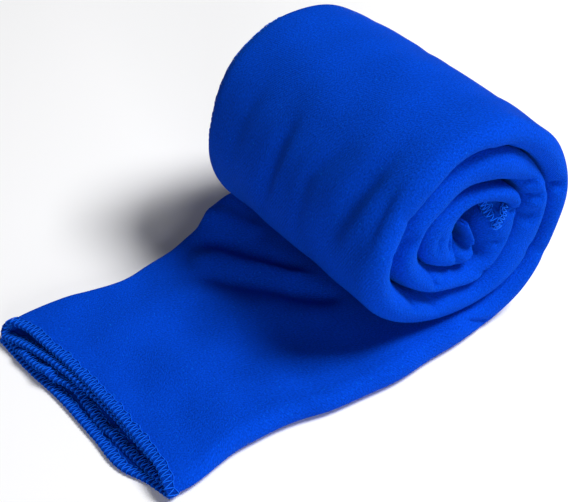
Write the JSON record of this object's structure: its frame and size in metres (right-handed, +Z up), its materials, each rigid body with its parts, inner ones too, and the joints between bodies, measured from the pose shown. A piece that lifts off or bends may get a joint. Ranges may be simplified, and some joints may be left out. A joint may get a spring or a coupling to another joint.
{
  "type": "quick dry towel",
  "caption": "Microfibre travel towel folded lengthwise and rolled up from one end, with overlocked hems and a loose tail that bends and wraps round the roll.",
  "frame": {"origin": "centre of the overall box, on the surface that the towel lies on", "axes": "+Z up, the tail points along -X, and the roll's axis runs along Y with the smooth folded side towards -Y"},
  "size_m": [0.2228, 0.139, 0.104],
  "materials": {
    "cloth": "brushed microfibre, matt with a soft nap",
    "thread": "twisted polyester overlock thread, slightly glossy"
  },
  "bodies": {
    "roll": {"outer_turn": "cloth", "middle_turn": "cloth", "inner_turn": "cloth", "core_lobe": "cloth", "core_leaf": "cloth", "core_wedge": "cloth", "core_end_hem": "thread", "roll_hem_lower": "thread", "roll_hem_upper": "thread", "tail_cloth_0": "cloth", "tail_hem_lower_0": "thread", "tail_hem_upper_0": "thread"},
    "tail_1": {"tail_cloth_1": "cloth", "tail_hem_lower_1": "thread", "tail_hem_upper_1": "thread"},
    "tail_2": {"tail_cloth_2": "cloth", "tail_hem_lower_2": "thread", "tail_hem_upper_2": "thread"},
    "tail_3": {"tail_cloth_3": "cloth", "tail_hem_lower_3": "thread", "tail_hem_upper_3": "thread"},
    "tail_4": {"tail_cloth_4": "cloth", "tail_hem_lower_4": "thread", "tail_hem_upper_4": "thread"},
    "tail_5": {"tail_cloth_5": "cloth", "tail_hem_lower_5": "thread", "tail_hem_upper_5": "thread"},
    "tail_6": {"tail_cloth_6": "cloth", "tail_hem_lower_6": "thread", "tail_hem_upper_6": "thread"},
    "tail_7": {"tail_cloth_7": "cloth", "tail_hem_lower_7": "thread", "tail_hem_upper_7": "thread", "end_hem_lower": "thread", "end_hem_upper": "thread"}
  },
  "joints": [
    {"name": "tail_bend_1", "type": "hinge", "parent": "roll", "child": "tail_1", "pos_m": [0.03347, -0.007, 0.0135], "axis": [0, 1, 0], "range_deg": [0, 25]},
    {"name": "tail_bend_2", "type": "hinge", "parent": "tail_1", "child": "tail_2", "pos_m": [0.01168, -0.007, 0.0135], "axis": [0, 1, 0], "range_deg": [0, 25]},
    {"name": "tail_bend_3", "type": "hinge", "parent": "tail_2", "child": "tail_3", "pos_m": [-0.00885, -0.007, 0.0135], "axis": [0, 1, 0], "range_deg": [0, 25]},
    {"name": "tail_bend_4", "type": "hinge", "parent": "tail_3", "child": "tail_4", "pos_m": [-0.02684, -0.007, 0.0135], "axis": [0, 1, 0], "range_deg": [0, 25]},
    {"name": "tail_bend_5", "type": "hinge", "parent": "tail_4", "child": "tail_5", "pos_m": [-0.04476, -0.007, 0.0135], "axis": [0, 1, 0], "range_deg": [0, 25]},
    {"name": "tail_bend_6", "type": "hinge", "parent": "tail_5", "child": "tail_6", "pos_m": [-0.06571, -0.007, 0.0135], "axis": [0, 1, 0], "range_deg": [0, 25]},
    {"name": "tail_bend_7", "type": "hinge", "parent": "tail_6", "child": "tail_7", "pos_m": [-0.09103, -0.007, 0.0135], "axis": [0, 1, 0], "range_deg": [0, 25]}
  ]
}
